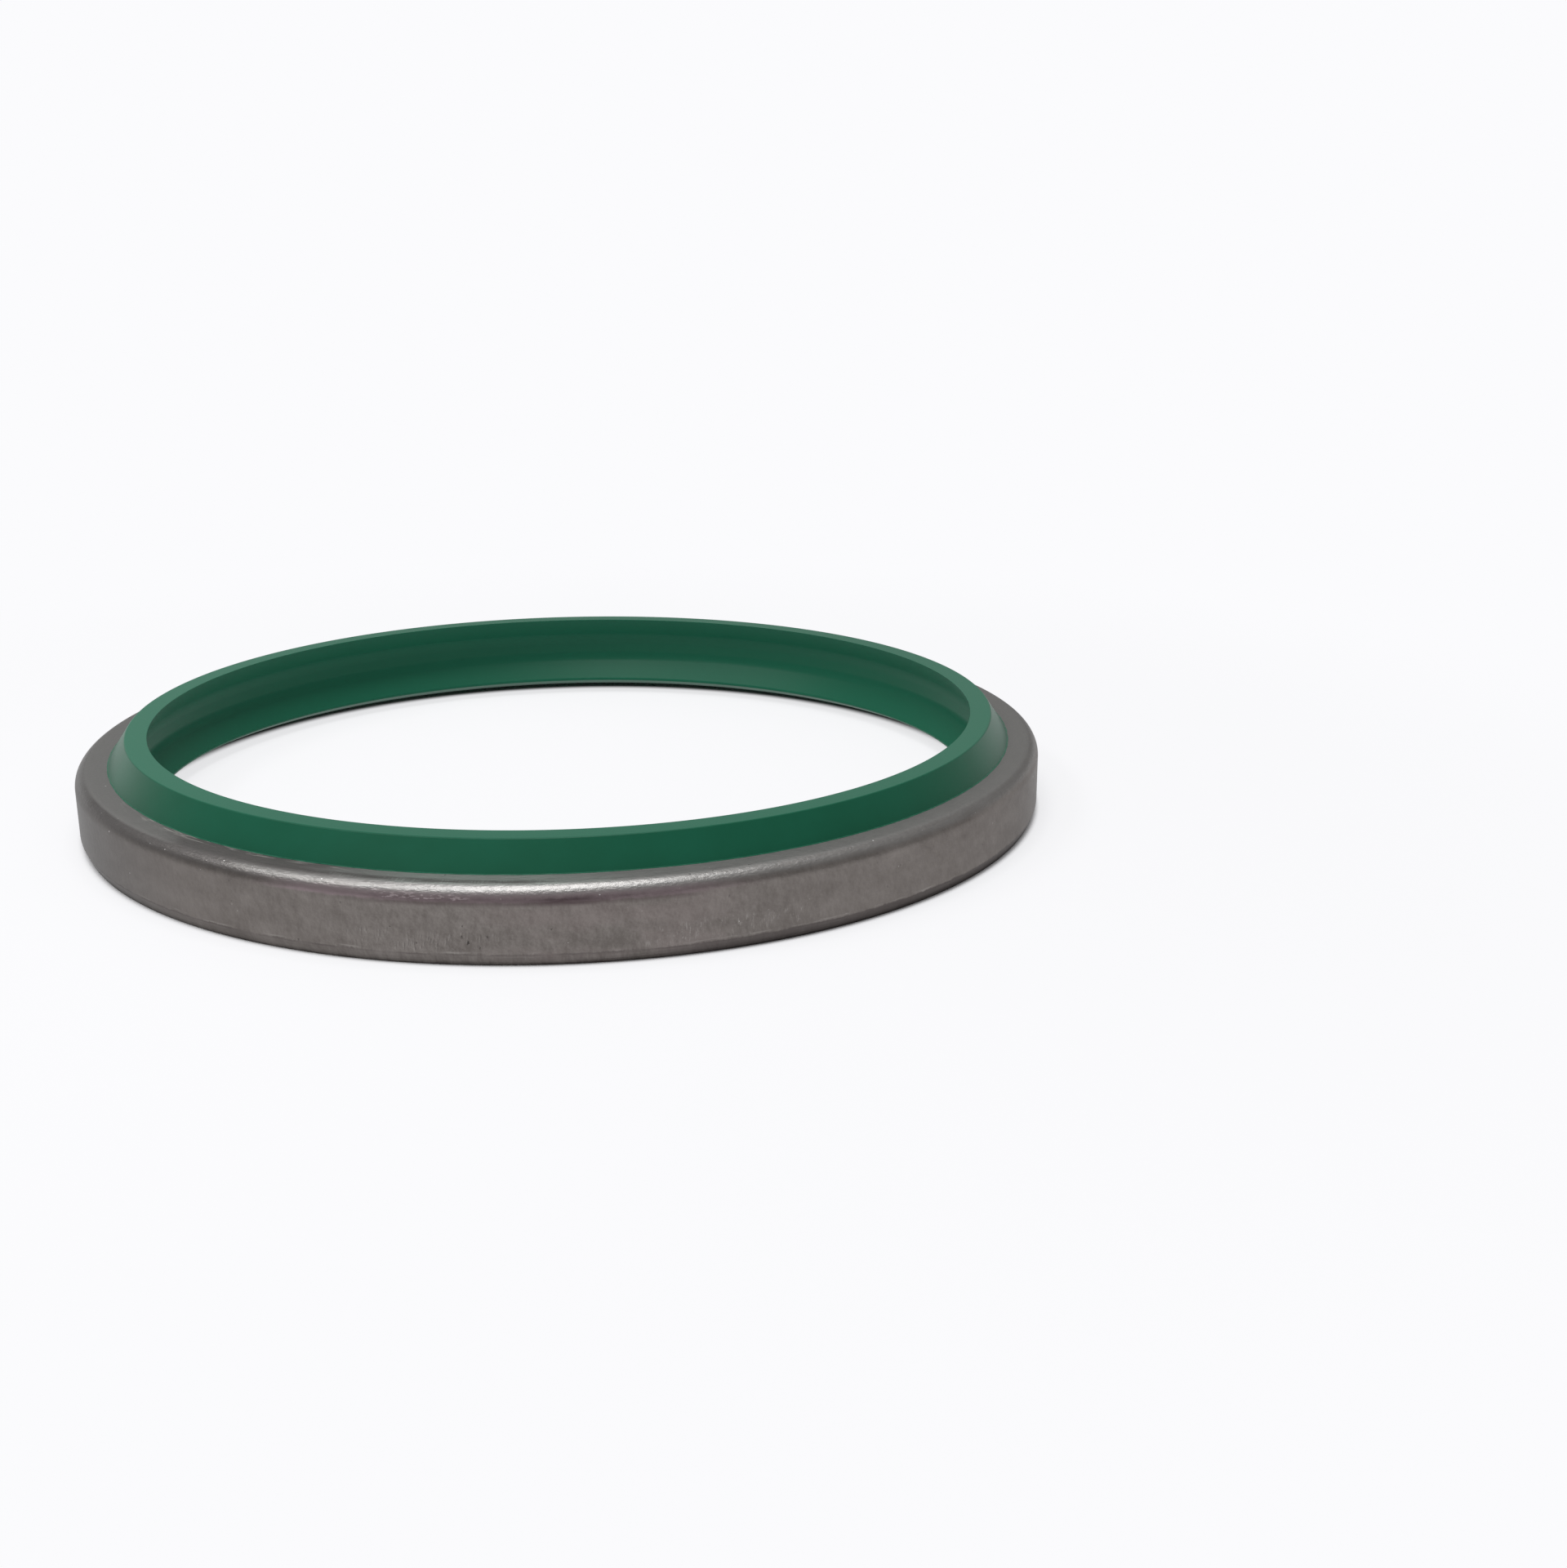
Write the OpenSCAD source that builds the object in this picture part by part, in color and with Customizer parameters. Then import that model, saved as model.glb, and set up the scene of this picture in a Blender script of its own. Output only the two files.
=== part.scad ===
// Metal-cased double-lip wiper seal for a hydraulic cylinder rod.
// A drawn steel case presses into the cylinder head. The polyurethane element moulded into it wipes dirt
// off the rod with the lip that stands out of the case, and holds back the oil film with the lip inside it.
// Both pieces are turned about +Z, the rod's axis. The dirt side is up, and z = 0 is the case's free edge.

/* [Rated size] */
// Diameter of the rod
rod_d = 100; // [40:1:200]
// Radial space between the rod and the housing bore
space_w = 7; // [6.6:0.1:9]
// Height of the steel case
case_h = 8; // [7.2:0.1:9.5]
// Height over all, from the case's free edge to the wiping lip's tip
total_h = 11; // [10:0.1:13]

/* [Steel case] */
// Thickness of the drawn sheet
sheet_t = 1; // [0.7:0.05:1.2]
// Outside radius of the rolled shoulder
shoulder_r = 1.6; // [1.3:0.1:2.2]
// How far the flange's inner edge reaches into the root of the wiping lip
flange_key = 0.7; // [0.3:0.1:1]
// Height of the turned lead-in at the free edge
lead_in_h = 1.2; // [0.4:0.1:2]
// Radial depth of the lead-in
lead_in_w = 0.5; // [0.1:0.05:0.6]

/* [Wiping lip] */
// Radial squeeze of the wiping edge on the rod
wiping_squeeze = 1.2; // [0.5:0.1:1.6]
// Width of the flat land on the tip
tip_w = 2.5; // [1.8:0.1:2.9]
// How far the lip's back leans in, from the flange face to the tip
back_lean = 2; // [1.6:0.1:2.6]
// Round on the tip's outer corner
tip_round_r = 0.25; // [0.1:0.05:0.5]
// Slope of the wiping flank, from the rod's axis
wiping_flank_a = 36; // [28:1:42]

/* [Bore] */
// Clearance between the waist of the bore and the rod
waist_gap = 1.1; // [0.7:0.1:1.4]
// Blend from the wiping flank into the waist
wiping_blend_r = 3; // [1:0.5:4]
// Blend from the oil-side flank into the waist
oil_blend_r = 0.8; // [0.4:0.1:1.5]

/* [Oil-side lip] */
// Radial squeeze of the sealing edge on the rod
oil_squeeze = 1.3; // [0.5:0.1:1.6]
// Height of the sealing edge above the case's free edge
oil_edge_z = 2; // [1.6:0.1:2.4]
// Slope of the oil-side flank, from the rod's axis
oil_flank_a = 38; // [32:1:44]
// Radial thickness of the lip at its end face
oil_lip_w = 2.2; // [1.6:0.1:2.6]
// Height of the end face's outer corner above the case's free edge
oil_heel_z = 1; // [0.6:0.1:1.4]
// Round on the sealing edge
oil_edge_r = 0.3; // [0.1:0.05:0.4]
// Slope of the lip's back, from the rod's axis
oil_back_a = 25; // [18:1:30]

/* [Groove behind the oil-side lip] */
// Thickness of the lining on the case wall, at the rim
rim_w = 1.4; // [0.8:0.1:1.8]
// How far the lining's rim lies inside the case's free edge
rim_recess = 0.2; // [0.1:0.05:0.4]
// Height of the groove's floor above the case's free edge
groove_floor_z = 4.5; // [3.8:0.1:5]
// Slope of the groove's outer wall, from the rod's axis
groove_draft_a = 4; // [0:1:8]
// Round on the groove's floor
groove_floor_r = 0.9; // [0.5:0.1:1.2]

/* [Hidden] */
steel = [0.45, 0.43, 0.41];
polyurethane = [0.09, 0.36, 0.25];
$fn = 128;

// The sections are drawn in the space between the rod and the housing, with x from the rod's surface.

// Wiping lip
wiping_x = -wiping_squeeze;
tip_x = wiping_x + tip_w;
root_x = tip_x + back_lean;

// Case, whose flange ends inside the lip's root
wall_x = space_w - sheet_t;
flange_z = case_h - sheet_t;
hole_x = root_x - flange_key;
mid_edge_x = wall_x + (sheet_t - lead_in_w) / 2;
mid_flange_z = flange_z + sheet_t / 2;
mid_root_x = root_x + (case_h - mid_flange_z) * back_lean / (total_h - case_h);

// Bore
wiping_waist_z = total_h - (waist_gap - wiping_x) / tan(wiping_flank_a);
oil_x = -oil_squeeze;
oil_waist_z = oil_edge_z + (waist_gap - oil_x) / tan(oil_flank_a);

// Oil-side lip and the groove behind it
heel_x = oil_x + oil_lip_w;
heel_foot_x = heel_x + (groove_floor_z - oil_heel_z) * tan(oil_back_a);
rim_x = wall_x - rim_w;
rim_foot_x = rim_x - (groove_floor_z - rim_recess) * tan(groove_draft_a);

// Largest share of the groove's floor that one of its two rounds may take
round_share = 0.6;
floor_round_r = min(groove_floor_r, round_share * (rim_foot_x - heel_foot_x));

// Corners of the element's section. Those in the case lie inside the sheet, which is then cut away.
wiping_edge = [wiping_x, total_h];
tip_corner = [tip_x, total_h];
root_corner = [mid_root_x, mid_flange_z];
case_corner = [mid_edge_x, mid_flange_z];
lining_foot = [mid_edge_x, rim_recess];
rim_corner = [rim_x, rim_recess];
rim_foot = [rim_foot_x, groove_floor_z];
heel_foot = [heel_foot_x, groove_floor_z];
heel_corner = [heel_x, oil_heel_z];
oil_edge = [oil_x, oil_edge_z];
oil_waist = [waist_gap, oil_waist_z];
wiping_waist = [waist_gap, wiping_waist_z];

// Growth of a corner's outline and of its arc, so that both cross the section's sides
outline_lap = 1.2;
arc_lap = 0.0001;

function unit(v) = v / norm(v);

// What lies between the corner at p, whose sides run towards a and b, and the arc of radius r that touches
// both sides. It rounds the corner where it is cut away, and fills it where it is added. Seen from the arc's
// centre, a, p and b lie anticlockwise, as the corners of every outline do.
module corner_sliver(p, a, b, r) {
    side_a = unit(a - p);
    side_b = unit(b - p);
    half = acos(side_a * side_b) / 2;
    reach = r / tan(half);
    centre = p + unit(side_a + side_b) * r / sin(half);
    outline = [centre, p + side_a * reach, p, p + side_b * reach];
    difference() {
        polygon([for (q = outline) centre + (q - centre) * outline_lap]);
        translate(centre) circle(r + arc_lap);
    }
}

// What the rolled shoulder leaves bare of the square corner between the wall and the flange
module shoulder_sliver() {
    corner_sliver([space_w, case_h], [space_w, 0], [hole_x, case_h], shoulder_r);
}

// Section of the case: an L of even thickness with a rolled shoulder and a turned lead-in
module case_section() {
    difference() {
        union() {
            translate([wall_x, 0]) square([sheet_t, case_h]);
            translate([hole_x, flange_z]) square([space_w - hole_x, sheet_t]);
            corner_sliver([wall_x, flange_z], [wall_x, 0], [hole_x, flange_z], shoulder_r - sheet_t);
        }
        shoulder_sliver();
        polygon([[space_w - lead_in_w, 0], [space_w, 0], [space_w, lead_in_h]]);
    }
}

// Section of the element, which takes the form of the case where the two are bonded
module element_section() {
    difference() {
        union() {
            polygon([
                wiping_edge, wiping_waist, oil_waist, oil_edge, heel_corner, heel_foot,
                rim_foot, rim_corner, lining_foot, case_corner, root_corner, tip_corner
            ]);
            corner_sliver(rim_foot, rim_corner, heel_foot, floor_round_r);
            corner_sliver(heel_foot, rim_foot, heel_corner, floor_round_r);
            corner_sliver(oil_waist, oil_edge, wiping_waist, oil_blend_r);
            corner_sliver(wiping_waist, oil_waist, wiping_edge, wiping_blend_r);
        }
        corner_sliver(tip_corner, root_corner, wiping_edge, tip_round_r);
        corner_sliver(oil_edge, oil_waist, heel_corner, oil_edge_r);
        shoulder_sliver();
        case_section();
    }
}

// Turns a section about the rod's axis
module ring() {
    rotate_extrude() translate([rod_d / 2, 0]) children();
}

// Drawn steel ring that presses into the housing
module steel_case() {
    color(steel) ring() case_section();
}

// Polyurethane moulding with the wiping lip, the bore, the oil-side lip and the lining
module wiper_element() {
    color(polyurethane) ring() element_section();
}

steel_case();
wiper_element();
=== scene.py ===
# %% [markdown]
# # A metal-cased rod wiper
# A rod wiper sits in the head of a hydraulic cylinder and scrapes the rod clean each time it slides in.
# This one is two pieces that never come apart: a ring drawn from thin steel sheet, and a ring of green
# polyurethane cast into it. The measured solids of both are loaded first, as a frame that stays as it is.
# Then each ring is turned again with the fine rounds, tool marks and finishes that a photograph shows and
# a drawing leaves out.

import math

import bmesh
import bpy
from mathutils import Matrix, Vector, noise


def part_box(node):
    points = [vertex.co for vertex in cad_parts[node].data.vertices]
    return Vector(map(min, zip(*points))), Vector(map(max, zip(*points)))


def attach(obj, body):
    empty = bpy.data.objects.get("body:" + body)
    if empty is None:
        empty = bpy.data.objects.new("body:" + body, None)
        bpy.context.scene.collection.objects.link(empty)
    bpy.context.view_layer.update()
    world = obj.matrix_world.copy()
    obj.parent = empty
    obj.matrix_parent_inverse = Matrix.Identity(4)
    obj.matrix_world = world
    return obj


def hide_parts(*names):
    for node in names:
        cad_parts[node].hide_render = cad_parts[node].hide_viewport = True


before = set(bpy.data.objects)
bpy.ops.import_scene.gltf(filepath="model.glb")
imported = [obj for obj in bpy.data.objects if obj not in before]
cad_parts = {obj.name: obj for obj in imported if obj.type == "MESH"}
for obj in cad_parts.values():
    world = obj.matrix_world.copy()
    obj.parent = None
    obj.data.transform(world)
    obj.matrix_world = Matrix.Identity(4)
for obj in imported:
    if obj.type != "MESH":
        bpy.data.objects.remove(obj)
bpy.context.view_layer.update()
MM = 0.001
print("measured nodes:", len(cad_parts))

# %% [markdown]
# ## Main sizes
# The frame already knows how wide and how high both rings are. Reading those sizes from it, instead of
# typing them in again, keeps the pictured seal and the measured one the same even after the drawing
# changes. All sizes below are in millimetres, because the drawing is, and are turned into Blender's
# metres only where a point is made.

# %% Read the main sizes from the frame
_, case_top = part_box("steel_case")
element_foot, element_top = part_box("wiper_element")
case_r, case_h = case_top.x / MM, case_top.z / MM
lining_r, total_h = element_top.x / MM, element_top.z / MM
rim_z = element_foot.z / MM
sheet_t = case_r - lining_r
print(f"case {2 * case_r:.1f} x {case_h:.1f} mm in {sheet_t:.1f} mm sheet, {total_h:.1f} mm over the lip")

# %% [markdown]
# ## Turning a ring
# Both rings are the same all the way round, so one section says everything about their shape. A Screw
# modifier or a bevelled curve could sweep it, but here the section is a flat face whose corners are
# bevelled and whose outline is then spun: the rounds are true to size, and the result is a plain mesh
# that can still be worked by hand.

# %% Draw a section, round its corners and spin it
RING_STEPS = 720
ARC_STEP = 0.15  # length of one straight piece of a rounded corner
ARC_PIECES_LEAST = 3
WELD = 0.0001  # points that lie closer than this are one


def round_corner(section, corner, sides, radius):
    """Bevels a corner of a flat section to an arc. Sides are the points at which its two edges end."""
    half_angle = (sides[0] - corner.co).angle(sides[1] - corner.co) / 2
    arc = 2 * radius * (math.pi / 2 - half_angle)
    bmesh.ops.bevel(
        section, geom=[corner], offset=radius / math.tan(half_angle) * MM, affect="VERTICES",
        segments=max(ARC_PIECES_LEAST, round(arc / ARC_STEP)), profile=0.5, material=-1,
    )


def turned_ring(corners):
    """Spins a section about the rod's axis. A corner is its radius, its height and its round's radius."""
    section = bmesh.new()
    points = [Vector((radius * MM, 0, height * MM)) for radius, height, _ in corners]
    outline = [section.verts.new(point) for point in points]
    section.faces.new(outline)
    for i, (_, _, radius) in enumerate(corners):
        if radius:
            round_corner(section, outline[i], (points[i - 1], points[(i + 1) % len(points)]), radius)
    bmesh.ops.delete(section, geom=section.faces[:], context="FACES_ONLY")
    bmesh.ops.spin(
        section, geom=section.verts[:] + section.edges[:], cent=(0, 0, 0), axis=(0, 0, 1),
        angle=2 * math.pi, steps=RING_STEPS, use_merge=True,
    )
    bmesh.ops.remove_doubles(section, verts=section.verts, dist=WELD * MM)
    bmesh.ops.recalc_face_normals(section, faces=section.faces)
    return section


# %% [markdown]
# ## From mesh to piece
# A piece needs more than a shape: it has to replace the measured solid that it stands for, and ride on
# the one body of the seal. Smooth shading would make the flat faces look puffed up next to their small
# rounds, so a Weighted Normal modifier lets the large faces decide how the edges are shaded.

# %% Make a finished piece
SHARP_ANGLE = math.radians(32)


def seal_piece(name, shape, node):
    """Puts a turned ring in the scene in place of a measured node."""
    mesh = bpy.data.meshes.new(name)
    shape.to_mesh(mesh)
    shape.free()
    mesh.shade_smooth()
    mesh.set_sharp_from_angle(angle=SHARP_ANGLE)
    piece = bpy.data.objects.new(name, mesh)
    bpy.context.scene.collection.objects.link(piece)
    shading = piece.modifiers.new("flat faces stay flat", "WEIGHTED_NORMAL")
    shading.keep_sharp = True
    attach(piece, "root")
    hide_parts(node)
    print(f"{name}: {len(mesh.polygons)} faces in place of {node}")
    return piece


# %% [markdown]
# ## The steel case
# The case is pressed from sheet: a straight wall that grips the housing, a rolled shoulder, and a flange
# turned in over the lip's root. Its free edge is turned to a lead-in, so that it finds the bore when the
# seal is pressed home. A drawn part has no knife edges, so every corner that shows gets a small round,
# which is also what catches the light. A Bevel modifier could round the finished ring, but rounding the
# section gives each corner its own radius and costs nothing more.

# %% Turn the steel case
shoulder_r = 1.6
inner_shoulder_r = shoulder_r - sheet_t
flange_hole_r, flange_z = 52.6, case_h - sheet_t
lead_in_h, lead_in_w, lead_in_round = 1.2, 0.5, 0.25
edge_break = 0.06

case_shape = turned_ring([
    (lining_r, 0, edge_break),
    (case_r - lead_in_w, 0, edge_break),
    (case_r, lead_in_h, lead_in_round),
    (case_r, case_h, shoulder_r),
    (flange_hole_r, case_h, 0),
    (flange_hole_r, flange_z, 0),
    (lining_r, flange_z, inner_shoulder_r),
])
steel_ring = seal_piece("drawn_case", case_shape, "steel_case")

# %% [markdown]
# ## The polyurethane element
# One moulding does all the work. The wiping lip stands out of the case and ends in a flat land with a
# sharp inner edge. Below it the bore swells out to a waist and comes in again to the oil-side lip, with
# an open groove behind that lip to let it flex. Where the casting met the flange, the mould left a film
# of flash as thin as paper. Two sweeps joined at the flange could make it, but one outline keeps the ring
# a single closed skin.

# %% Turn the wiper element
wiping_r, tip_r, root_r = 48.8, 51.3, 53.3
wiping_edge_round, tip_round = 0.04, 0.25
waist_r, wiping_waist_z, oil_waist_z = 51.1, 7.83, 5.07
wiping_blend_r, oil_blend_r = 3.0, 2.2
oil_edge_r, oil_edge_z, oil_edge_round = 48.7, 2.0, 0.3
heel_r, heel_z, heel_round = 50.9, 1.0, 0.12
heel_foot_r, rim_foot_r, groove_z, groove_round = 52.53, 54.3, 4.5, 0.9
rim_r, rim_round = 54.6, 0.1
flash_w, flash_h, flash_edge_round, flash_root_round = 0.11, 0.04, 0.03, 0.05
cone_lean = (root_r - tip_r) / (total_h - case_h)

element_shape = turned_ring([
    (wiping_r, total_h, wiping_edge_round),
    (waist_r, wiping_waist_z, wiping_blend_r),
    (waist_r, oil_waist_z, oil_blend_r),
    (oil_edge_r, oil_edge_z, oil_edge_round),
    (heel_r, heel_z, heel_round),
    (heel_foot_r, groove_z, groove_round),
    (rim_foot_r, groove_z, groove_round),
    (rim_r, rim_z, rim_round),
    (lining_r, rim_z, 0),
    (lining_r, flange_z, inner_shoulder_r),
    (flange_hole_r, flange_z, 0),
    (flange_hole_r, case_h, 0),
    (root_r + flash_w, case_h, 0),
    (root_r + flash_w, case_h + flash_h, flash_edge_round),
    (root_r - cone_lean * flash_h, case_h + flash_h, flash_root_round),
    (tip_r, total_h, tip_round),
])
print(f"element: {len(element_shape.verts)} points, leaning in {cone_lean:.2f} mm for each mm of its cone")

# %% [markdown]
# ## The edge of the flash
# Flash isn't trimmed where it does no harm. It ends where it tore, so its edge wanders a little in and
# out. A Displace modifier could do that, but only a few rings of points take part, so they are picked by
# their place and pushed along their radius by smooth noise.

# %% Let the flash wander and finish the element
FLASH_WAVE = 0.06  # how far the edge wanders in or out
FLASH_WAVE_LENGTH = 1.6

flash_edge = [
    vert for vert in element_shape.verts
    if vert.co.xy.length > (root_r + flash_w / 2) * MM and vert.co.z > (case_h - flash_h) * MM
]
for vert in flash_edge:
    wave = noise.noise(vert.co.to_2d().to_3d() / (FLASH_WAVE_LENGTH * MM))
    vert.co.xy *= 1 + FLASH_WAVE * MM * wave / vert.co.xy.length
print(len(flash_edge), "points along the edge of the flash moved")
green_ring = seal_piece("moulded_wiper", element_shape, "wiper_element")

# %% [markdown]
# ## Writing finishes as sums
# A finish is a small calculation: where on the ring a point lies, how much grain is there, how dark it
# gets. In the shader editor that becomes dozens of Math nodes, so one class wraps a socket and turns
# plain Python sums into them. Every other node comes from one method, which sets a node's options first
# and then fills in its sockets.


# %% Wrap sockets so that sums make nodes
class Wire:
    """An output socket. Sums with it add Math nodes to its node tree."""

    def __init__(self, finish, socket):
        self.finish, self.socket = finish, socket

    def math(self, operation, *terms):
        return self.finish.node("ShaderNodeMath", {"operation": operation}, dict(enumerate(terms)))

    def __add__(self, other):
        return self.math("ADD", self, other)

    def __sub__(self, other):
        return self.math("SUBTRACT", self, other)

    def __rsub__(self, other):
        return self.math("SUBTRACT", other, self)

    def __mul__(self, other):
        return self.math("MULTIPLY", self, other)

    def __truediv__(self, other):
        return self.math("DIVIDE", self, other)

    def __rtruediv__(self, other):
        return self.math("DIVIDE", other, self)

    def __pow__(self, power):
        return self.math("POWER", self, power)

    def __gt__(self, limit):
        return self.math("GREATER_THAN", self, limit)

    __radd__, __rmul__ = __add__, __mul__


class Finish:
    """The node tree of a material or of the world."""

    def __init__(self, owner):
        owner.use_nodes = True
        self.tree = owner.node_tree
        self.tree.nodes.clear()

    def node(self, kind, settings=None, sockets=None, output=0):
        """Adds a node, sets its options, then fills its sockets with values or links."""
        made = self.tree.nodes.new(kind)
        for name, value in (settings or {}).items():
            setattr(made, name, value)
        for name, value in (sockets or {}).items():
            if isinstance(value, Wire):
                self.tree.links.new(value.socket, made.inputs[name])
            else:
                made.inputs[name].default_value = value
        return Wire(self, made.outputs[output]) if made.outputs else None


# %% [markdown]
# ## Places on the ring
# All patterns are read from Object coordinates, turned into millimetres, so that a grain of 0.3 really is
# 0.3 mm on the part. On a ring those coordinates have a flaw: a streak that runs up the wall would run
# along the flange at another angle. A UV map would mend that. Here the surface is unrolled by a sum
# instead, into two axes that run round the ring and a third that runs up its profile.


# %% Find a place on the ring
def along(finish, vector, axes="XYZ"):
    """How far a vector reaches along each of some axes."""
    return [finish.node("ShaderNodeSeparateXYZ", {}, {0: vector}, axis) for axis in axes]


def place_in_mm(finish):
    """Where a point lies on the piece: the whole place, its radius and its height."""
    metres = finish.node("ShaderNodeTexCoord", output="Object")
    place = finish.node("ShaderNodeVectorMath", {"operation": "SCALE"}, {0: metres, "Scale": 1 / MM})
    x, y, z = along(finish, place)
    return place, (x * x + y * y) ** 0.5, z


def unrolled(finish, place, radius, height, step=0.0):
    """The place laid out flat, moved a step round the ring and half a step up its profile."""
    x, y = along(finish, place, "XY")
    share = case_r / radius
    turn = step / case_r
    sockets = {0: (x - y * turn) * share, 1: (y + x * turn) * share, 2: height - radius + step / 2}
    return finish.node("ShaderNodeCombineXYZ", {}, sockets)


def shaken(finish, place, size, amount):
    """The place pushed about by up to amount millimetres, so that spots lose their even shape."""
    sockets = {"Vector": place, "Scale": 1 / size, "Detail": 2.0}
    push = finish.node("ShaderNodeTexNoise", {}, sockets, "Color")
    sockets = {0: push, 1: [2 * amount] * 3, 2: place}
    return finish.node("ShaderNodeVectorMath", {"operation": "MULTIPLY_ADD"}, sockets)


# %% [markdown]
# ## Patterns on the ring
# Two textures make every mark on the seal. Noise gives clouds, grain and streaks: stretching its
# coordinates stretches the marks, up the wall like those of a drawing die, or round the ring like those
# of a lathe tool. Voronoi cells give spots, because each cell has a middle to measure from and a random
# colour to choose by. Noise cut off at a level could give spots too, but not of a chosen size and number.

# %% Name the patterns
SPOT_CORE = 0.5  # share of a spot's width that is solid before its edge fades
FAINT_SHARE = 0.5  # share of the spots that are faint


def stretched(finish, place, size, stretch):
    """The place counted in marks of a size, which are longer along an axis with a larger stretch."""
    sockets = {0: place, 1: [1 / (size * s) for s in stretch]}
    return finish.node("ShaderNodeVectorMath", {"operation": "MULTIPLY"}, sockets)


def grain(finish, place, size, stretch=(1, 1, 1), detail=2.0, roughness=0.5):
    """Noise from 0 to 1 whose marks are about size millimetres wide, times stretch along each axis."""
    vector = stretched(finish, place, size, stretch)
    sockets = {"Vector": vector, "Scale": 1.0, "Detail": detail, "Roughness": roughness}
    return finish.node("ShaderNodeTexNoise", {}, sockets, "Fac")


def ramp(finish, value, start, end):
    """0 before start, 1 after end, with a soft change between."""
    sockets = {"Value": value, "From Min": start, "From Max": end}
    return finish.node("ShaderNodeMapRange", {"interpolation_type": "SMOOTHSTEP"}, sockets)


def specks(finish, place, spacing, size, share, stretch=(1, 1, 1)):
    """Spots of up to size millimetres, in a share of the cells of a loose grid."""
    sockets = {"Vector": stretched(finish, place, spacing, stretch), "Scale": 1.0}
    distance = finish.node("ShaderNodeTexVoronoi", {}, sockets, "Distance")
    colour = finish.node("ShaderNodeTexVoronoi", {}, sockets, "Color")
    draw, width = (
        finish.node("ShaderNodeSeparateColor", {}, {0: colour}, channel) for channel in ("Red", "Green")
    )
    reach = width * (size / spacing / 2)
    spot = 1 - ramp(finish, distance / reach, SPOT_CORE, 1.0)
    return spot * ramp(finish, draw, 1 - share, 1 - share * FAINT_SHARE)


# %% [markdown]
# ## Laying colours over each other
# Stains, films and scratches are laid on one after the other, as they were on the real ring, and each
# lets some of what lies under it show. Whole shaders could be mixed, but then each would need its own
# gloss and relief. One Mix node for each colour is enough, and a finish that ends in a single Principled
# shader is easy to bake.


# %% Name the ways to colour a surface
def grey(level):
    """A colour without a hue."""
    return level, level, level, 1


def tinted(finish, share, base, other):
    """A colour that goes from base to other as share goes from 0 to 1."""
    return finish.node("ShaderNodeMix", {"data_type": "RGBA"}, {0: share, 6: base, 7: other}, 2)


def washed(finish, colour, washes):
    """A colour with others laid over it in turn. A wash is its share and its colour."""
    for share, wash in washes:
        colour = tinted(finish, share, colour, wash)
    return colour


def surface(finish, sockets):
    """Ends a material in one Principled shader."""
    shader = finish.node("ShaderNodeBsdfPrincipled", {}, sockets)
    finish.node("ShaderNodeOutputMaterial", {}, {"Surface": shader})


# %% [markdown]
# ## Bare drawn steel
# The steel is neither polished nor painted. It has a warm grey, cloudy tone from rolling and oil, upright
# die marks on the wall, rings from the lathe on the lead-in and a slightly hammered shoulder. A texture
# photograph could show all that, but procedural grain fits any view and any size of picture. Dents and
# die marks are read twice, a small step apart: the difference between both readings is painted light on
# one flank beside painted shade on the other.

# %% Lay out the grain of the steel
# The step sets how far a dent's painted light lies from its painted shade.
FLANK_STEP = 0.16  # how far the light flank of a dent lies from its dark one
MIDDLE = 0.5  # the mean of every noise

drawn_steel = bpy.data.materials.new("drawn_steel")
steel = Finish(drawn_steel)
place, radius, height = place_in_mm(steel)
across, behind = along(steel, place, "XY")
flat, beside = (unrolled(steel, place, radius, height, step) for step in (0.0, FLANK_STEP))

clouds = grain(steel, flat, size=8.0, stretch=(1, 1, 0.35))
patches = grain(steel, flat, size=2.4, stretch=(1, 1, 0.6), detail=3.0)
mottle = grain(steel, flat, size=1.5, stretch=(1, 1, 1.1), detail=5.0, roughness=0.8)
dents, dent_flanks = (
    grain(steel, where, size=1.0, stretch=(1, 1, 1.2), detail=4.0, roughness=0.6)
    for where in (flat, beside)
)
die_marks, die_flanks = (grain(steel, where, size=0.14, stretch=(1, 1, 7)) for where in (flat, beside))
smears = grain(steel, flat, size=0.35, stretch=(9, 9, 1), detail=4.0)
hammer = grain(steel, flat, size=0.34, stretch=(1.7, 1.7, 1), detail=3.0)
rubs = grain(steel, flat, size=0.20, stretch=(2.4, 2.4, 1), detail=4.0)
lathe_rings = grain(steel, flat, size=0.16, stretch=(60, 60, 1))
print("drawn_steel:", len(steel.tree.nodes), "nodes of grain")

# %% [markdown]
# ## Pits, knocks and painted glints
# Grit leaves dark pits, knocks leave light ones, and a few tiny spots of light steel are painted glinting
# specks. They could be modelled, but marks a third of a millimetre wide are seen as spots of colour with
# a little relief. A round spot looks like a drop of paint, so the place is shaken before the pits and
# knocks are drawn. Only the glinting specks are small enough to stay round.

# %% Scatter the spots
SHAKE_SIZE, SHAKE_AMOUNT = 0.16, 0.14

uneven, uneven_beside = (shaken(steel, where, SHAKE_SIZE, SHAKE_AMOUNT) for where in (flat, beside))
# The pits, and the same pits a step aside, whose light flanks are painted highlights.
pits, pit_painted_highlights = (
    specks(steel, where, spacing=1.2, size=0.36, share=0.45) for where in (uneven, uneven_beside)
)
knocks = specks(steel, uneven, spacing=1.7, size=0.36, share=0.3)
nicks = specks(steel, uneven, spacing=0.55, size=0.34, share=0.6, stretch=(1, 1, 1.8))
# Painted glinting specks: tiny spots of light steel.
painted_glint_spots = specks(steel, flat, spacing=1.0, size=0.26, share=0.25)
print("drawn_steel:", len(steel.tree.nodes), "nodes with the spots")

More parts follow.
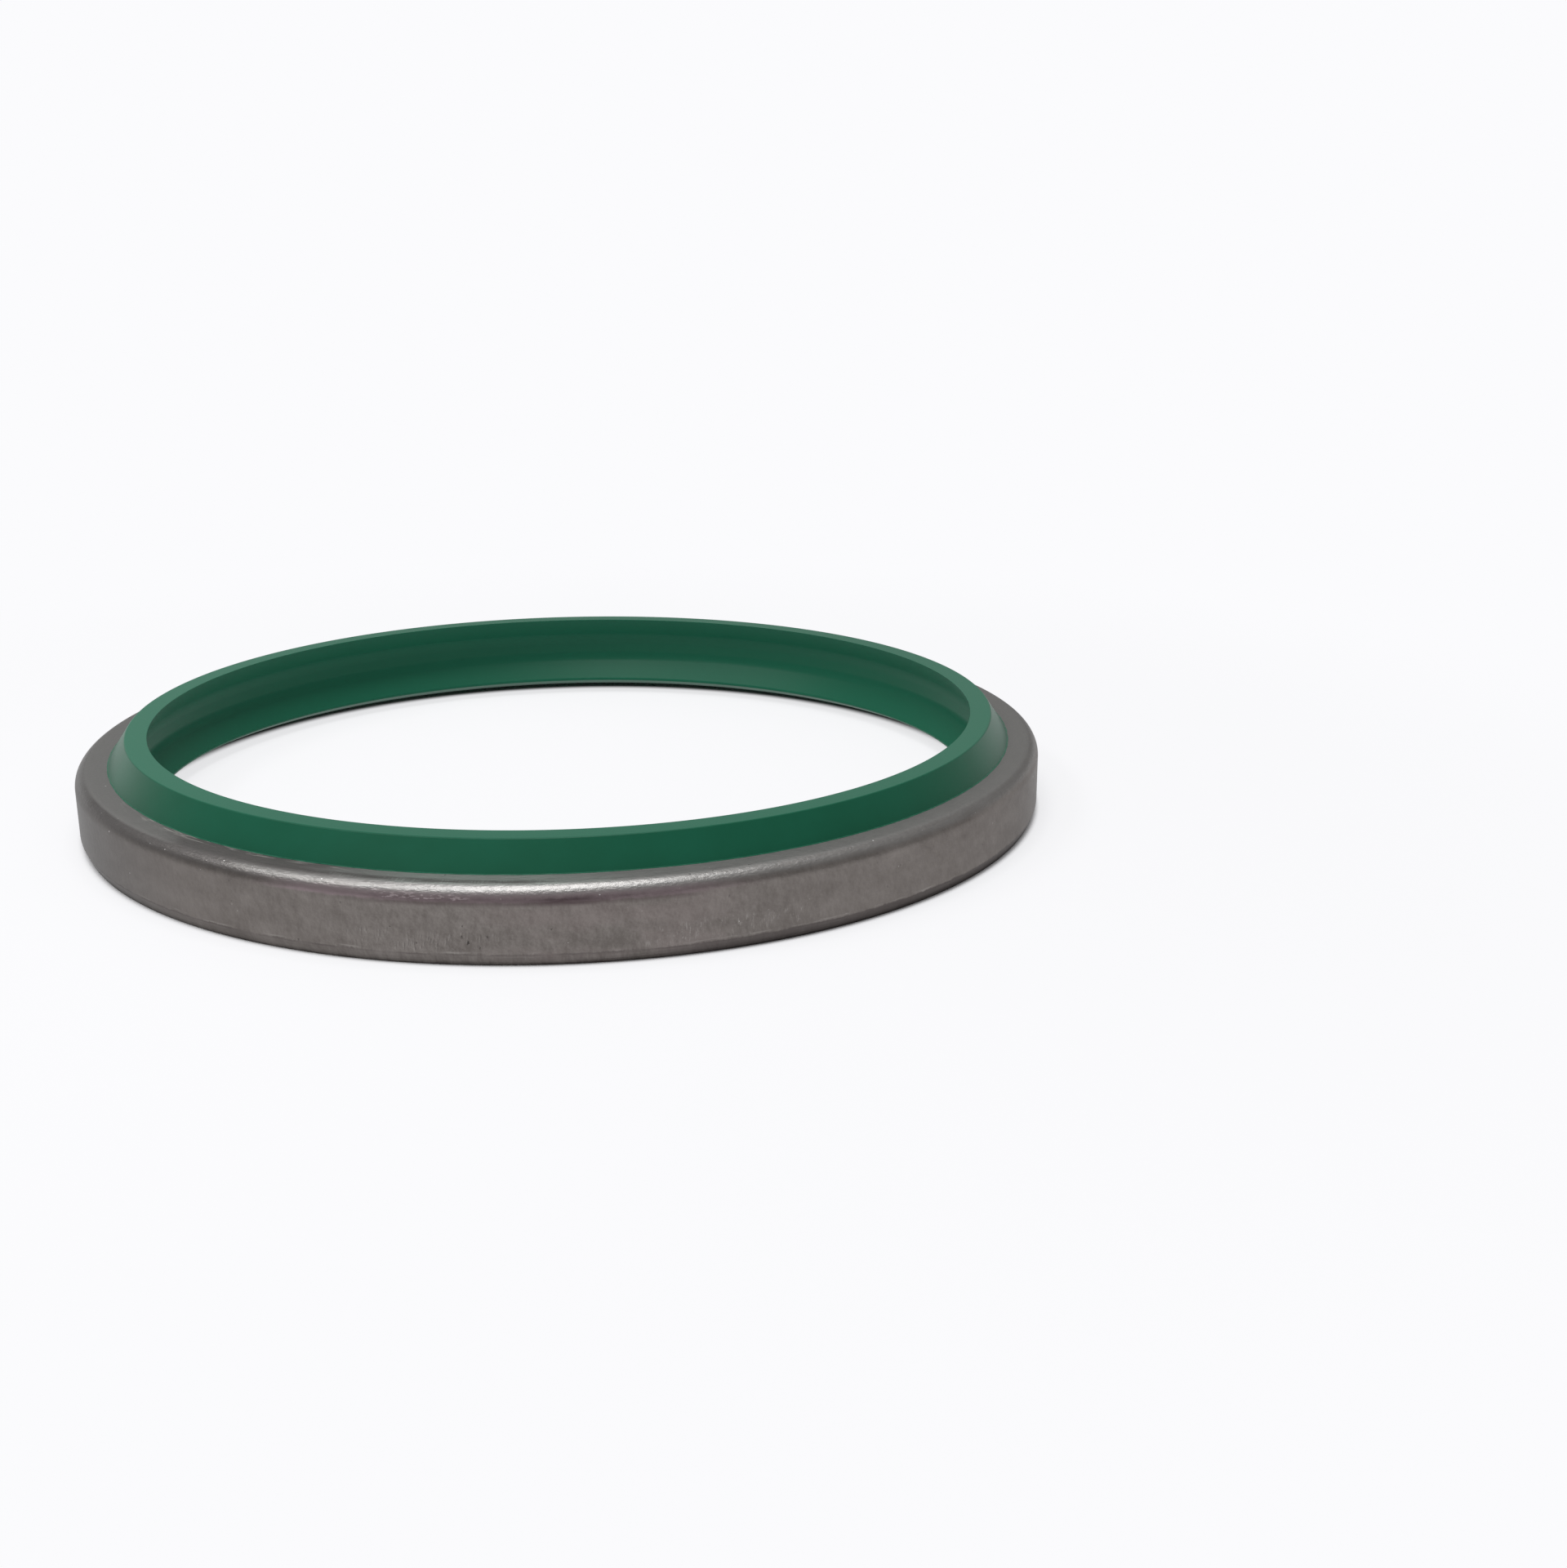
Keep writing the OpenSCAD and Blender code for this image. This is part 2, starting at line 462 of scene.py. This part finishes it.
# %% [markdown]
# ## The zones of the case
# The press, the lathe and the mould each left marks on their own stretch of the profile: the turned
# lead-in, the drawn wall, the rolled shoulder, the flat flange. Vertex groups could hold those zones, but
# the height and the radius of a point already say which one it lies in. The edges follow the mottle a
# little, because no mark on metal ends at a ruled line.

# %% Mark out the zones of the case
TANGENT_Z = case_h - shoulder_r  # where the wall runs into the shoulder
TANGENT_R = case_r - shoulder_r  # where the shoulder runs into the flange
RAGGED = 0.5  # how far the edge of a zone strays, from its lowest to its highest

ragged = height + (mottle - MIDDLE) * RAGGED


def band(base, start, end, soft):
    """1 between two heights above a base, with soft and slightly ragged edges."""
    low, high = base + start, base + end
    return ramp(steel, ragged, low, low + soft) * (1 - ramp(steel, ragged, high - soft, high))


# The foot is darkened with painted contact shade.
foot = 1 - ramp(steel, ragged, 0.02, 0.30)
lead_in = 1 - ramp(steel, ragged, lead_in_h - 0.06, lead_in_h + 0.06)
edge_line = band(lead_in_h, -0.14, 0.14, soft=0.10)
edge_ridge = band(lead_in_h, 0.08, 0.36, soft=0.10)
drawn_wall = 1 - lead_in
scored = band(lead_in_h, 0.00, 2.60, soft=0.60)
tool_line_and_shade_band = band(TANGENT_Z, -0.45, 0.75, soft=0.50)
mauve_band = band(TANGENT_Z, -0.05, 1.15, soft=0.35)
scuff_line = band(TANGENT_Z, 0.30, 0.85, soft=0.10)
above_wall = ramp(steel, height, TANGENT_Z + 0.4, TANGENT_Z + 0.9)
shoulder = ramp(steel, height, TANGENT_Z + 0.5, TANGENT_Z + 1.2)
on_flange = ramp(steel, height, case_h - 0.16, case_h - 0.02)
lip_side = on_flange * (1 - ramp(steel, radius, root_r + 0.5, root_r + 1.1))
crease = ramp(steel, radius, TANGENT_R - 0.8, TANGENT_R - 0.3)
crease = crease * (1 - ramp(steel, radius, TANGENT_R + 0.1, TANGENT_R + 0.7)) * (height > case_h - 0.3)
print(f"the shoulder starts {TANGENT_Z:.1f} mm up and ends at a radius of {TANGENT_R:.1f} mm")

# %% [markdown]
# ## Where the ring was handled
# A ring that has lain about isn't worn evenly. Its front was gripped and knocked, its left end is cleaner
# and cooler, and the back lies between the two. Such wear could be painted by hand. Here a stretch of it
# is two places across the front and the softness of both ends, so it can be moved by changing a number,
# and the ends wander with the clouds in the tone.

# %% Mark out the worn stretches
WANDER = 12  # how far the end of a stretch may wander, from side to side
FRONT, SIDE = -25, -5  # marks of the front fade out between these two places

wandering = across + (clouds - MIDDLE) * WANDER


def patch(left, right, soft):
    """1 on the front of the ring between two places across it, with soft and wandering ends."""
    ends = ramp(steel, wandering, left - soft, left) * (1 - ramp(steel, wandering, right, right + soft))
    return ends * (1 - ramp(steel, behind, FRONT, SIDE))


left_end = 1 - ramp(steel, across, -54, -30)
right_end = ramp(steel, across, 10, 36)
back = ramp(steel, behind, 10, 45)
gripped = ramp(steel, across, -46, 2) * (1 - right_end * 0.7)
handled = gripped + (1 - gripped) * back * 0.7
calm = left_end * (1 - ramp(steel, behind, 0, 30) * 0.8)
print(f"marks of the front end {-SIDE} mm before the middle of the ring")

# %% [markdown]
# ## The tone of the steel
# All grain is first summed up to one number, from dark to light steel, and only then turned into a
# colour. Mixing a colour for each pattern would do as well, but one number keeps the patterns in balance:
# what makes one mark stronger can't shift its hue. The tone is livelier where the ring was handled.

# %% Sum up the tone
STEEL_LIGHT = (0.232, 0.212, 0.198, 1)
STEEL_DARK = (0.152, 0.136, 0.126, 1)

tone = clouds + (patches - MIDDLE) * 0.7 + (mottle - MIDDLE) * (0.8 + handled * 1.7)
tone = tone + (die_marks - MIDDLE) * handled * drawn_wall * 0.12 + (lathe_rings - MIDDLE) * lead_in * 0.9
# Painted light and shade on the flanks of the dents: the dents read a step aside, less the dents.
tone = tone + (dent_flanks - dents) * (0.6 + handled * 1.8)
colour = tinted(steel, tone, STEEL_DARK, STEEL_LIGHT)
print("drawn_steel:", len(steel.tree.nodes), "nodes with the tone")

# %% [markdown]
# ## Stains, films and painted shade
# The steel carries a few films and some painted shade: a mauve tint on the front just under the shoulder,
# a brighter shoulder that other parts rubbed against, a pale greenish painted reflection on the flange at
# the front, painted dark reflections on the flange beside the lip and on the shoulder at the left,
# smudges and painted shade along the top of the shoulder, and a dark line along the bend that is part
# tool line and part painted shade. A painted mask could hold each of them. Here each is a zone times a
# stretch, so that it has a name and can be moved by a number, and the list then says how strongly and in
# which order they are laid on.

# %% Lay on the stains and the painted shade
STEEL_COOL = (0.186, 0.183, 0.180, 1)
BLUSH = (0.235, 0.190, 0.186, 1)
MAUVE_TINT = (0.315, 0.250, 0.266, 1)
BEND_LINE_AND_SHADE_DARK = (0.075, 0.052, 0.057, 1)
BURNISHED = (0.275, 0.272, 0.268, 1)
FLANGE_GREY = (0.220, 0.218, 0.212, 1)
FLANGE_PAINTED_REFLECTION = (0.285, 0.315, 0.292, 1)
LINE_DARK = (0.085, 0.073, 0.072, 1)

blushed = patch(4, 18, soft=8) * ramp(steel, clouds, 0.35, 0.65)
# A mauve tint on the front, just under the shoulder.
mauve_front = mauve_band * patch(-18, 14, soft=12)
rubbed = shoulder * (0.2 + smears * 0.6 + handled * 0.3)
# Painted reflection: the flange at the front is lighter and greener, as if it mirrored the white room and
# the green cone.
flange_painted_reflection = on_flange * patch(-8, 3, soft=9)
# Painted dark reflections: a darker band on the shoulder at the left, and a darker flange at the front
# left.
shoulder_painted_dark_reflection = above_wall * (1 - on_flange) * patch(-47, -31, soft=6)
flange_painted_dark_reflection = on_flange * patch(-33, -21, soft=6)
smeared = on_flange * handled * ramp(steel, smears, 0.45, 0.75)
# Along the top of the shoulder at the front: partly dark smudges, partly painted shade that dulls the top
# of the highlight.
crease_smudge_and_shade = crease * patch(-16, 0, soft=8) * ramp(steel, smears * 0.6 + die_marks * 0.4, 0.32, 0.55)
# A dark line along the bend under the shoulder: part tool line, part painted shade.
bend_line_and_painted_shade = tool_line_and_shade_band * (patch(-10, 4, soft=8) * 0.50 + patch(6, 16, soft=6) * 0.45)
stains = (
    (calm * 0.7, STEEL_COOL),
    (blushed * 0.25, BLUSH),
    (mauve_front * 0.8, MAUVE_TINT),
    (rubbed, BURNISHED),
    (on_flange * 0.7, FLANGE_GREY),
    (flange_painted_reflection * 0.8, FLANGE_PAINTED_REFLECTION),
    (shoulder_painted_dark_reflection * 0.40 + flange_painted_dark_reflection * 0.55, LINE_DARK),
    (smeared * 0.30, LINE_DARK),
    (crease_smudge_and_shade * 0.60, LINE_DARK),
    (bend_line_and_painted_shade * (0.5 + smears), BEND_LINE_AND_SHADE_DARK),
)
colour = washed(steel, colour, stains)
print(len(stains), "stains and films laid on the steel")

# %% [markdown]
# ## The worked edge
# The lathe that cut the lead-in left a dark line where its cut begins. Just above it a light line, broken
# in places, is a painted highlight where the top of the lead-in would catch the light. The lead-in itself
# is darker with painted shade, most of all at the right, and the very edge at the foot is darkened with
# painted contact shade. Bevels that small would cost a great many faces, so they are colour alone.

# %% Mark the free edge
PIT_AND_SHADE_DARK = (0.050, 0.045, 0.042, 1)
KNOCK_AND_HIGHLIGHT_LIGHT = (0.480, 0.460, 0.440, 1)

# Painted shade on the lead-in, most of all at the right.
lead_in_painted_shade = lead_in * (0.10 + patch(22, 60, soft=12) * 0.50)
cut_line = edge_line * ramp(steel, smears, 0.25, 0.60)
# A painted highlight along the top of the lead-in, broken in places.
edge_painted_highlight = edge_ridge * ramp(steel, smears, 0.50, 0.70)
edge_marks = (
    (lead_in_painted_shade, LINE_DARK),
    (cut_line * 0.45, LINE_DARK),
    (edge_painted_highlight * 0.25, KNOCK_AND_HIGHLIGHT_LIGHT),
    # painted contact shade at the foot
    (foot * 0.4, PIT_AND_SHADE_DARK),
)
colour = washed(steel, colour, edge_marks)
print(len(edge_marks), "marks laid along the free edge")

# %% [markdown]
# ## Scores, nicks, scratches and painted highlights
# What hit the ring left bright or dark marks that end sharply. Drawing them one by one would take long,
# so each kind is a pattern that is cut off hard by a steep ramp and keeps only its peaks. A score is dark,
# and beside it, as beside a pit, a light flank is a painted highlight, as on any groove under a lamp.

# %% Scratch the steel
SCUFF = (0.720, 0.620, 0.640, 1)
PAINTED_GLINT = (0.820, 0.810, 0.800, 1)

# Scores from the die marks, and beside them painted highlights on their flanks.
ticks, tick_painted_highlights = (
    ramp(steel, marks, 0.55, 0.66) * ramp(steel, mottle, 0.44, 0.58) for marks in (die_marks, die_flanks)
)
score_share = scored * (0.04 + patch(-13, -5, soft=4) * 0.96)
light_ticks = ticks * scored * patch(14, 28, soft=4)
lip_scratches = ramp(steel, smears, 0.54, 0.66) * lip_side * patch(-40, -12, soft=8)
scuffs = scuff_line * ramp(steel, rubs, 0.48, 0.62) * patch(-11, -6, soft=3)
scratches = (
    # painted highlights on the flanks of the scores and pits
    (tick_painted_highlights * score_share * 0.20 + pit_painted_highlights * handled * 0.15, KNOCK_AND_HIGHLIGHT_LIGHT),
    (ticks * score_share * 0.45 + nicks * score_share * 0.9 + pits * handled * 0.7, PIT_AND_SHADE_DARK),
    (light_ticks * 0.30 + knocks * 0.45, KNOCK_AND_HIGHLIGHT_LIGHT),
    (lip_scratches * 0.6, KNOCK_AND_HIGHLIGHT_LIGHT),
    (scuffs * 0.45, SCUFF),
    # painted glinting specks on the wall
    (painted_glint_spots * drawn_wall * 0.8, PAINTED_GLINT),
)
colour = washed(steel, colour, scratches)
print(len(scratches), "kinds of scratches laid on the steel")

# %% [markdown]
# ## Relief and gloss
# Real marks have a depth that moves with the light. Displacing the mesh would take millions of faces for
# marks as fine as these, so Bump tilts the shading instead, and its depth is kept to a real one, a
# twentieth of a millimetre. Bare metal flares up where it is seen at a flat angle, but a skin of oil and
# oxide dulls that, so the specular tint, which holds for those angles, is well under white.

# %% Raise the grain and finish the steel
STEEL_RELIEF = 0.05
FLAT_ANGLE_TINT = grey(0.65)

relief = die_marks * drawn_wall * handled * 0.15 + hammer * (0.3 + shoulder * 0.7) * drawn_wall
relief = relief + smears * shoulder * 0.3 + dents * (0.15 + drawn_wall * 0.35)
relief = relief + lathe_rings * lead_in * 0.6 + knocks * 0.4 - pits * 0.4
sockets = {"Height": relief, "Strength": 1.0, "Distance": STEEL_RELIEF * MM}
surface(steel, {
    "Base Color": colour,
    "Metallic": 1.0,
    "Specular Tint": FLAT_ANGLE_TINT,
    "Roughness": 0.30 + mottle * 0.10 + hammer * 0.10 + on_flange * 0.20,
    "Normal": steel.node("ShaderNodeBump", {}, sockets),
})
steel_ring.data.materials.append(drawn_steel)
print("drawn_steel:", len(steel.tree.nodes), "nodes in all")

# %% [markdown]
# ## Satin polyurethane
# Cast polyurethane is a deep, even green with the soft sheen of the mould's own surface. A plain colour
# would do from far away. Close up, what makes it look real is what little isn't even: faint clouds in the
# tone, a very fine grain that spreads the reflections, and a few specks of dust. The land of the lip was
# cut by a knife; it faces the lamp, and its paler colour is painted light, strongest at the left end and
# weakest at the back. The bore is a little lighter and greyer with painted light and sheen. The flash on
# the steel is pale where it tore.

# %% Mark out the polyurethane
satin_polyurethane = bpy.data.materials.new("satin_polyurethane")
green = Finish(satin_polyurethane)
place, radius, height = place_in_mm(green)
across, behind = along(green, place, "XY")

clouds = grain(green, place, size=7.0, detail=3.0)
fine = grain(green, place, size=0.12)
dust = specks(green, place, spacing=3.4, size=0.14, share=0.06)
torn = ramp(green, grain(green, place, size=0.8, detail=3.0), 0.35, 0.65)
on_flash = 1 - ramp(green, height, case_h + flash_h, case_h + flash_h * 3)
on_flash = on_flash * ramp(green, radius, root_r - 0.1, root_r + 0.05)
on_land = ramp(green, height, total_h - 0.05, total_h - 0.01)
in_bore = 1 - ramp(green, radius, waist_r, tip_r)
# Painted light on the land, which faces the lamp: strongest at the left end, weakest at the back.
land_painted_light = on_land * (1 - ramp(green, across, -50, -15) * 0.45 - ramp(green, behind, 10, 40) * 0.35)
print("satin_polyurethane:", len(green.tree.nodes), "nodes of grain")

# %% [markdown]
# ## Colour and sheen of the polyurethane
# Sheen decides how deep the green looks. A shiny plastic would mirror the white room and turn pale, so
# the specular level is low and the roughness is that of a satin mould. Subsurface scattering could soften
# the green further, but so much pigment lets hardly any light in. The relief is a hundredth of a
# millimetre: more would look like leather.

# %% Mix the polyurethane finish
GREEN = (0.0076, 0.100, 0.054, 1)
GREEN_DEEP = (0.0066, 0.090, 0.047, 1)
BORE_PAINTED_LIGHT = (0.0100, 0.112, 0.062, 1)
LAND_PAINTED_LIGHT = (0.0180, 0.142, 0.083, 1)
DUST = (0.20, 0.30, 0.26, 1)
FLASH_PALE = (0.045, 0.170, 0.112, 1)
MOULD_RELIEF = 0.01

colour = tinted(green, ramp(green, clouds, 0.3, 0.7), GREEN_DEEP, GREEN)
colour = washed(green, colour, (
    # The bore is lighter and greyer: painted light and sheen.
    (in_bore, BORE_PAINTED_LIGHT),
    (land_painted_light, LAND_PAINTED_LIGHT),
    (dust * 0.5, DUST),
    (on_flash * torn * 0.45, FLASH_PALE),
))
sockets = {"Height": fine * 0.7 + clouds * 0.3, "Strength": 0.35, "Distance": MOULD_RELIEF * MM}
surface(green, {
    "Base Color": colour,
    "Roughness": 0.34 + fine * 0.08,
    "Specular IOR Level": 0.13,
    "Normal": green.node("ShaderNodeBump", {}, sockets),
})
green_ring.data.materials.append(satin_polyurethane)
print("satin_polyurethane:", len(green.tree.nodes), "nodes in all")

# %% [markdown]
# ## A pale floor
# The seal lies on a plain pale table. Studios often use a backdrop that curves up behind the object. Here
# the room is as white as the table, so one square face is enough, as long as it is larger than the
# picture could ever show and no edge of it comes into view from any side.

# %% Lay the floor
FLOOR_SIDE = 6.0  # in metres

floor_shape = bmesh.new()
bmesh.ops.create_grid(floor_shape, x_segments=1, y_segments=1, size=FLOOR_SIDE / 2)
floor_mesh = bpy.data.meshes.new("floor")
floor_shape.to_mesh(floor_mesh)
floor_shape.free()
floor = bpy.data.objects.new("floor", floor_mesh)
bpy.context.scene.collection.objects.link(floor)
print(f"floor of {FLOOR_SIDE} by {FLOOR_SIDE} m")

# %% [markdown]
# ## The floor's white
# A white table under this light would render as light grey. For the camera and for mirror-like rays most
# of its brightness is therefore given as glow, and the rest is lit in the normal way: that share keeps
# the seal's own soft shadow. Right under the case the floor is only lit, because the dark line there is
# what makes the seal look as if it touched the table.

# %% Make the floor pale
WHITE = (0.965, 0.965, 0.982, 1)
TABLE = (0.93, 0.93, 0.94, 1)
LIT_SHARE = 0.22
SHADOW_NEAR, SHADOW_FAR = 60, 160


def seen_directly(finish):
    """1 for what the camera sees, straight or by way of metal and glass, and 0 for scattered light."""
    kinds = ("Camera", "Glossy", "Transmission")
    straight, glossy, through = (
        finish.node("ShaderNodeLightPath", output=f"Is {kind} Ray") for kind in kinds
    )
    either = straight.math("MAXIMUM", straight, glossy)
    return either.math("MAXIMUM", either, through)


pale_table = bpy.data.materials.new("pale_table")
table = Finish(pale_table)
glow = table.node("ShaderNodeEmission", {}, {"Color": WHITE, "Strength": 1.0})
lit = table.node("ShaderNodeBsdfDiffuse", {}, {"Color": TABLE})
_, away, _ = place_in_mm(table)
near = 1 - ramp(table, away, SHADOW_NEAR, SHADOW_FAR)
under_seal = ramp(table, away, waist_r, root_r)
under_seal = under_seal * (1 - ramp(table, away, case_r - lead_in_w, case_r + lead_in_w))
lit_share = near * (LIT_SHARE + under_seal * (1 - LIT_SHARE))
glow_share = seen_directly(table) * (1 - lit_share)
mixed = table.node("ShaderNodeMixShader", {}, {0: glow_share, 1: lit, 2: glow})
table.node("ShaderNodeOutputMaterial", {}, {"Surface": mixed})
floor_mesh.materials.append(pale_table)
print(f"{LIT_SHARE:.0%} of the floor's white is lit, out to {SHADOW_FAR} mm")

# %% [markdown]
# ## The room
# The camera sees the room as white, and its even light fills in the shadows. Steel sees it darker, as a
# real room is below its lamps: without that, bare metal has nothing to mirror and turns into flat grey
# paint. A panorama of a real studio could stand in for it, but a few soft steps of grey are easier to
# place. The room is darkest on the camera's side, lighter overhead, and two white cards stand low behind
# the seal, at its left and its right, to be mirrored by the ends of the green cone and of the flange.

# %% Set up the room
ROOM_LIGHT = 0.36
ROOM_FRONT, ROOM_BACK, ROOM_HIGH, CARD = grey(0.41), grey(0.52), grey(0.70), grey(1.40)

world = bpy.data.worlds.new("studio")
bpy.context.scene.world = world
room = Finish(world)
way = room.node("ShaderNodeTexCoord", output="Generated")
sideward, backward, upward = along(room, way)
low_behind = ramp(room, backward, 0.3, 0.6) * (1 - ramp(room, upward, 0.06, 0.20))
to_one_side = ramp(room, sideward * sideward, 0.08, 0.25)
seen_room = washed(room, ROOM_FRONT, (
    (ramp(room, backward, -0.6, 0.6), ROOM_BACK),
    (ramp(room, upward, 0.60, 1.00), ROOM_HIGH),
    (low_behind * to_one_side, CARD),
    (room.node("ShaderNodeLightPath", output="Is Camera Ray"), WHITE),
))
shown = room.node("ShaderNodeBackground", {}, {"Color": seen_room, "Strength": 1.0})
fill = room.node("ShaderNodeBackground", {}, {"Color": WHITE, "Strength": ROOM_LIGHT})
both = room.node("ShaderNodeMixShader", {}, {0: seen_directly(room), 1: fill, 2: shown})
room.node("ShaderNodeOutputWorld", {}, {"Surface": both})
print("studio:", len(room.tree.nodes), "nodes")

# %% [markdown]
# ## Two soft lamps
# A broad lamp overhead draws the long highlight on the rolled shoulder. A smaller strip at the left gives
# the left end its own, fainter one. Spot lamps would draw thin, hard lines there. Area lamps are soft by
# their size alone, and both are aimed at the middle of the seal.

# %% Hang the lamps
LAMPS = (  # name, watts, width and depth, and place, in metres
    ("overhead", 1.24, (0.19, 0.36), Vector((-0.03, -0.06, 0.45))),
    ("strip", 0.55, (0.32, 0.10), Vector((-0.30, -0.10, 0.42))),
)

for name, watts, size, spot in LAMPS:
    lamp_data = bpy.data.lights.new(name, "AREA")
    lamp_data.shape = "RECTANGLE"
    lamp_data.size, lamp_data.size_y = size
    lamp_data.energy = watts
    lamp = bpy.data.objects.new(name, lamp_data)
    lamp.location = spot
    lamp.rotation_euler = (-spot).to_track_quat("-Z", "Y").to_euler()
    bpy.context.scene.collection.objects.link(lamp)
    print(f"{name} lamp: {watts} W, {spot.length:.2f} m away")
bpy.context.scene.view_settings.view_transform = "Standard"

# %% [markdown]
# ## The photographer's place
# The camera stands low and close, which is why the near side of the ring looks so much larger than the
# far side. Its distance, height and focal length belong together. Setting them by eye would take many
# tries, so they were found by matching the ring's edges in the photograph. The axes of the camera are
# worked out from its tilt, and it is then moved along them.

# %% Place the camera
VIEW_TILT = math.radians(16.98)
VIEW_ROLL = math.radians(0.20)
VIEW_OFFSET = Vector((-26.284, -0.746, -235.0))  # the seal's place, as the camera sees it
IMAGE_SIDE = 1920
FOCAL_PIXELS = 2331
SENSOR = 36
NEAREST = 0.01  # in metres

camera_data = bpy.data.cameras.new("photographer")
camera_data.sensor_width = SENSOR
camera_data.lens = SENSOR * FOCAL_PIXELS / IMAGE_SIDE
camera_data.clip_start = NEAREST
camera = bpy.data.objects.new("photographer", camera_data)
turn = Matrix.Rotation(math.pi / 2 - VIEW_TILT, 4, "X") @ Matrix.Rotation(-VIEW_ROLL, 4, "Z")
camera.matrix_world = turn @ Matrix.Translation(-VIEW_OFFSET * MM)
bpy.context.scene.collection.objects.link(camera)
bpy.context.scene.camera = camera
camera_place = [round(c / MM, 1) for c in camera.matrix_world.translation]
print(f"camera at {camera_place} mm with a {camera_data.lens:.1f} mm lens")
